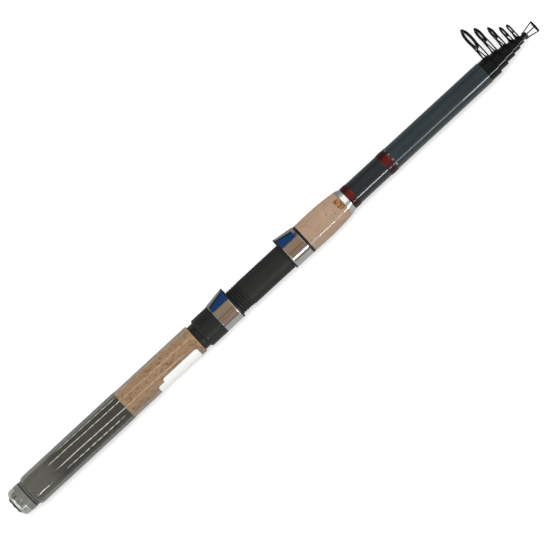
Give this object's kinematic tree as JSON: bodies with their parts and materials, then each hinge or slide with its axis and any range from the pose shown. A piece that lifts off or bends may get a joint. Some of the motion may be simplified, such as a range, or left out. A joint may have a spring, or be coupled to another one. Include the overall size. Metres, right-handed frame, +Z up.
{
  "type": "telescopic fishing rod",
  "caption": "Collapsed telescopic fishing rod with nested tapered sections, wire line guides, a screw-down reel seat, cork and foam grips and a screw-off butt cap.",
  "frame": {"origin": "on the rod's axis, where the straight part of the foam rear grip begins", "axes": "+X along the rod towards its tip, +Y towards the line guides and the reel foot, +Z up"},
  "size_m": [0.5685, 0.052, 0.027],
  "materials": {
    "blank_lacquer": "glossy slate lacquer over the tapered composite tube",
    "section_lacquer": "glossy dark lacquer over thin composite tubes",
    "grip_foam": "dark grey closed-cell foam under clear film",
    "cork": "natural cork with pits and streaks",
    "seat_plastic": "matte black moulded plastic",
    "black_plastic": "satin black moulded plastic",
    "nut_plastic": "satin black moulded plastic with fine grain",
    "polished_steel": "mirror-polished pressed steel with blue cheeks",
    "polished_alloy": "polished turned alloy",
    "red_thread": "red winding thread under clear epoxy",
    "silver_trim": "metallic thread under clear epoxy",
    "cap_alloy": "satin grey anodised alloy",
    "plug_alloy": "plain turned alloy",
    "soft_pad": "soft foam",
    "black_rubber": "matte rubber",
    "sleeve_black": "glossy black coating",
    "guide_wire": "black coated wire",
    "guide_ceramic": "polished black ceramic"
  },
  "bodies": {
    "handle": {"butt_blank": "blank_lacquer", "butt_ferrule": "black_plastic", "rear_grip_foam": "grip_foam", "rear_grip_cork": "cork", "rear_collar": "black_plastic", "seat_body": "seat_plastic", "fixed_hood_shell": "polished_steel", "fixed_hood_liner": "black_plastic", "foregrip_ring": "black_plastic", "foregrip_cork": "cork", "winding_check": "polished_alloy", "rear_wrap": "red_thread", "front_wrap": "red_thread", "trim_band": "silver_trim"},
    "butt_screw": {"butt_plug": "plug_alloy", "plug_pad": "soft_pad", "cap_gasket": "black_rubber"},
    "cap": {"butt_cap": "cap_alloy", "cap_end_pad": "black_rubber"},
    "hood": {"sliding_hood_shell": "polished_steel", "sliding_hood_liner": "black_plastic"},
    "nut": {"lock_nut": "nut_plastic"},
    "tube_2": {"section_2": "section_lacquer", "guide_1_sleeve": "sleeve_black", "guide_1_hoop": "guide_wire", "guide_1_brace": "guide_wire", "guide_1_ring": "guide_ceramic"},
    "tube_3": {"section_3": "section_lacquer", "guide_2_sleeve": "sleeve_black", "guide_2_hoop": "guide_wire", "guide_2_brace": "guide_wire", "guide_2_ring": "guide_ceramic"},
    "tube_4": {"section_4": "section_lacquer", "guide_3_sleeve": "sleeve_black", "guide_3_hoop": "guide_wire", "guide_3_brace": "guide_wire", "guide_3_ring": "guide_ceramic"},
    "tube_5": {"section_5": "section_lacquer", "guide_4_sleeve": "sleeve_black", "guide_4_hoop": "guide_wire", "guide_4_brace": "guide_wire", "guide_4_ring": "guide_ceramic"},
    "tube_6": {"section_6": "section_lacquer", "guide_5_sleeve": "sleeve_black", "guide_5_hoop": "guide_wire", "guide_5_brace": "guide_wire", "guide_5_ring": "guide_ceramic"},
    "tube_7": {"section_7": "section_lacquer", "tip_tube": "sleeve_black", "tip_frame": "guide_wire", "tip_ring": "guide_ceramic"}
  },
  "joints": [
    {"name": "draw_2", "type": "slide", "parent": "handle", "child": "tube_2", "axis": [1, 0, 0], "range_m": [0, 0.3865]},
    {"name": "draw_3", "type": "slide", "parent": "tube_2", "child": "tube_3", "axis": [1, 0, 0], "range_m": [0, 0.3971]},
    {"name": "draw_4", "type": "slide", "parent": "tube_3", "child": "tube_4", "axis": [1, 0, 0], "range_m": [0, 0.4056]},
    {"name": "draw_5", "type": "slide", "parent": "tube_4", "child": "tube_5", "axis": [1, 0, 0], "range_m": [0, 0.4141]},
    {"name": "draw_6", "type": "slide", "parent": "tube_5", "child": "tube_6", "axis": [1, 0, 0], "range_m": [0, 0.4211]},
    {"name": "draw_7", "type": "slide", "parent": "tube_6", "child": "tube_7", "axis": [1, 0, 0], "range_m": [0, 0.4266]},
    {"name": "hood_slide", "type": "slide", "parent": "handle", "child": "hood", "axis": [1, 0, 0], "range_m": [0, 0.028]},
    {"name": "nut_turn", "type": "hinge", "parent": "hood", "child": "nut", "pos_m": [0.1932, 0, 0], "axis": [1, 0, 0], "range_deg": [0, 4032]},
    {"name": "screw_out", "type": "slide", "parent": "handle", "child": "butt_screw", "axis": [-1, 0, 0], "range_m": [0, 0.012]},
    {"name": "cap_turn", "type": "hinge", "parent": "butt_screw", "child": "cap", "pos_m": [-0.012, 0, 0], "axis": [-1, 0, 0], "range_deg": [0, 2880]}
  ],
  "couplings": [
    {"joint": "nut_turn", "follows": "hood_slide", "rad_per_m": 2513.3},
    {"joint": "cap_turn", "follows": "screw_out", "rad_per_m": 4188.8}
  ]
}
